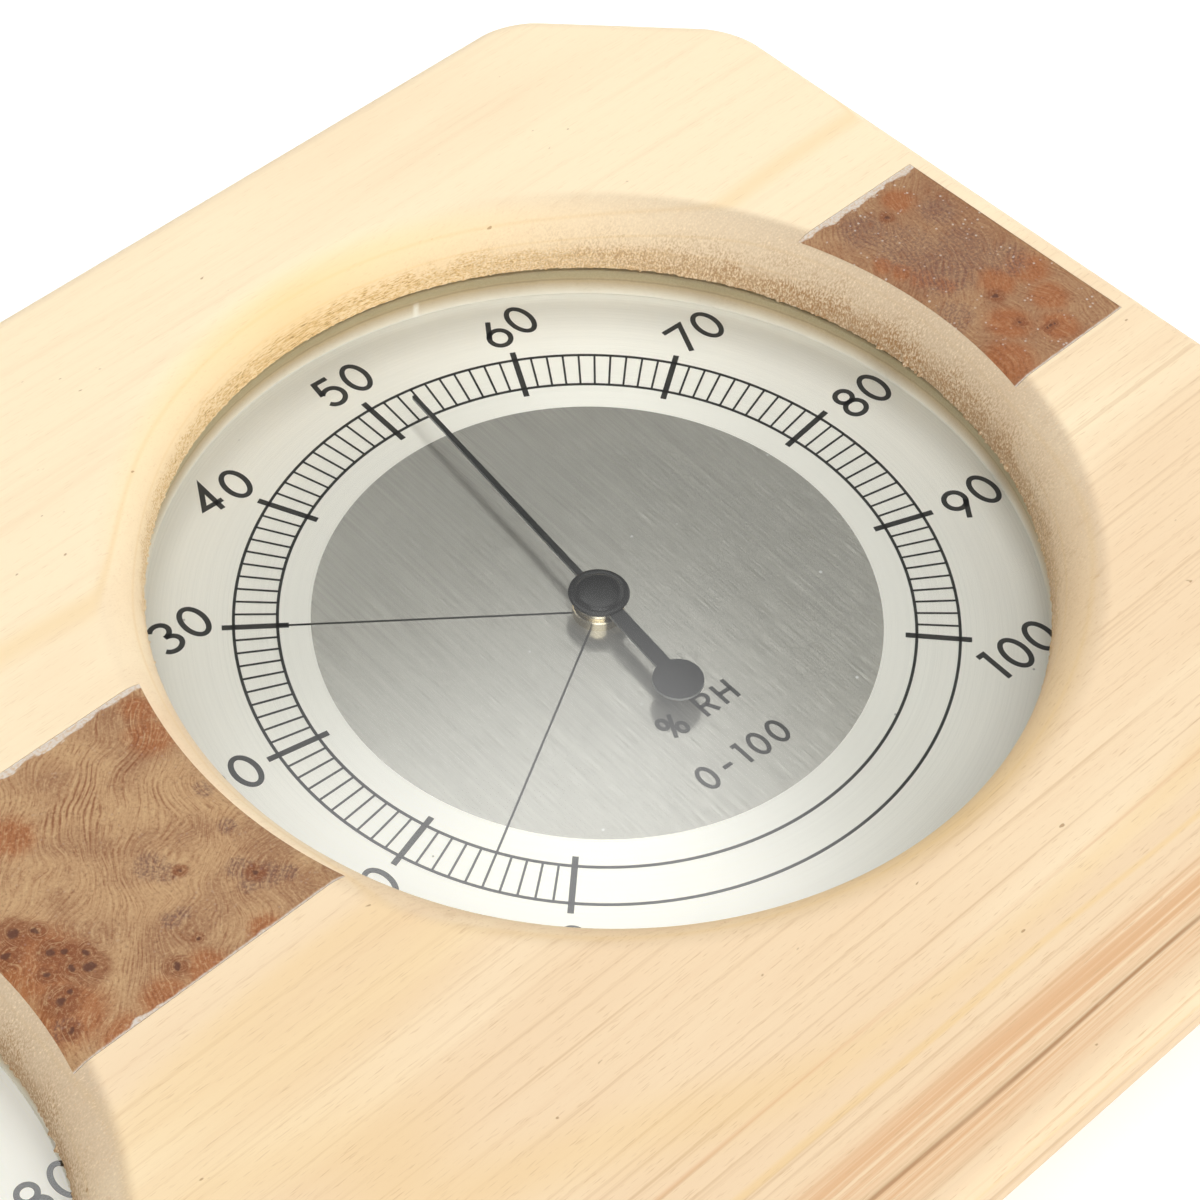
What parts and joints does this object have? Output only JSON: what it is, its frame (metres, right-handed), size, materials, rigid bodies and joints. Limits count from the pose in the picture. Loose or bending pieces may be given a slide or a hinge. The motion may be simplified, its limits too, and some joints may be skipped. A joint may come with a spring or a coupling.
{
  "type": "dial hygrometer board",
  "caption": "Wooden board with cut corners and a burl strip that carries a dial hygrometer and a dial thermometer, each pointer turned by a sensing coil behind glass.",
  "frame": {"origin": "centre of the back face", "axes": "+X along the board towards the hygrometer, +Y towards twelve o'clock on the dials, +Z out of the dials"},
  "size_m": [0.248, 0.136, 0.022],
  "materials": {
    "pale_wood": "fine sanded, unvarnished",
    "burl_wood": "satin burl veneer",
    "clear_glass": "clear float glass",
    "spacer_card": "plain card",
    "dial_metal": "satin silver with a brushed centre",
    "nickel": "nickelled, turned",
    "movement_brass": "plain brass",
    "pointer_black": "satin black",
    "bright_steel": "bright steel",
    "humidity_strip": "bronze foil with a moisture-sensitive coating",
    "bimetal_strip": "rolled bimetal",
    "case_metal": "spun, matt",
    "zinc_steel": "zinc plated"
  },
  "bodies": {
    "board": {"board": "pale_wood", "inlay_left": "burl_wood", "inlay_middle": "burl_wood", "inlay_right": "burl_wood", "hanger_plate": "zinc_steel", "hanger_screws": "zinc_steel", "hygro_glass": "clear_glass", "hygro_spacer": "spacer_card", "hygro_dial": "dial_metal", "hygro_bush": "nickel", "hygro_bush_nut": "nickel", "hygro_bridge": "movement_brass", "hygro_rear_bearing": "movement_brass", "hygro_case": "case_metal", "hygro_case_screws": "zinc_steel", "thermo_glass": "clear_glass", "thermo_spacer": "spacer_card", "thermo_dial": "dial_metal", "thermo_bush": "nickel", "thermo_bush_nut": "nickel", "thermo_bridge": "movement_brass", "thermo_rear_bearing": "movement_brass", "thermo_case": "case_metal", "thermo_case_screws": "zinc_steel"},
    "hygro_regulator": {"hygro_regulator": "bright_steel", "hygro_coil_stud": "movement_brass", "hygro_coil": "humidity_strip"},
    "hygro_pointer": {"hygro_arbor": "bright_steel", "hygro_collet": "movement_brass", "hygro_pointer": "pointer_black", "hygro_pointer_cap": "pointer_black"},
    "thermo_regulator": {"thermo_regulator": "bright_steel", "thermo_coil_stud": "movement_brass", "thermo_coil": "bimetal_strip"},
    "thermo_pointer": {"thermo_arbor": "bright_steel", "thermo_collet": "movement_brass", "thermo_pointer": "pointer_black", "thermo_pointer_cap": "pointer_black"}
  },
  "joints": [
    {"name": "hygro_regulate", "type": "hinge", "parent": "board", "child": "hygro_regulator", "pos_m": [0.06, 0.0057, 0.0025], "axis": [0, 0, 1], "range_deg": [-20, 20]},
    {"name": "hygro_read", "type": "hinge", "parent": "hygro_regulator", "child": "hygro_pointer", "pos_m": [0.06, 0.0057, 0.0129], "axis": [0, 0, 1], "range_deg": [-129.6, 140.4], "stiffness_Nm_per_rad": 0.00004},
    {"name": "thermo_regulate", "type": "hinge", "parent": "board", "child": "thermo_regulator", "pos_m": [-0.06, 0.0057, 0.0025], "axis": [0, 0, 1], "range_deg": [-20, 20]},
    {"name": "thermo_read", "type": "hinge", "parent": "thermo_regulator", "child": "thermo_pointer", "pos_m": [-0.06, 0.0057, 0.0129], "axis": [0, 0, 1], "range_deg": [-198, 72], "stiffness_Nm_per_rad": 0.0007}
  ]
}
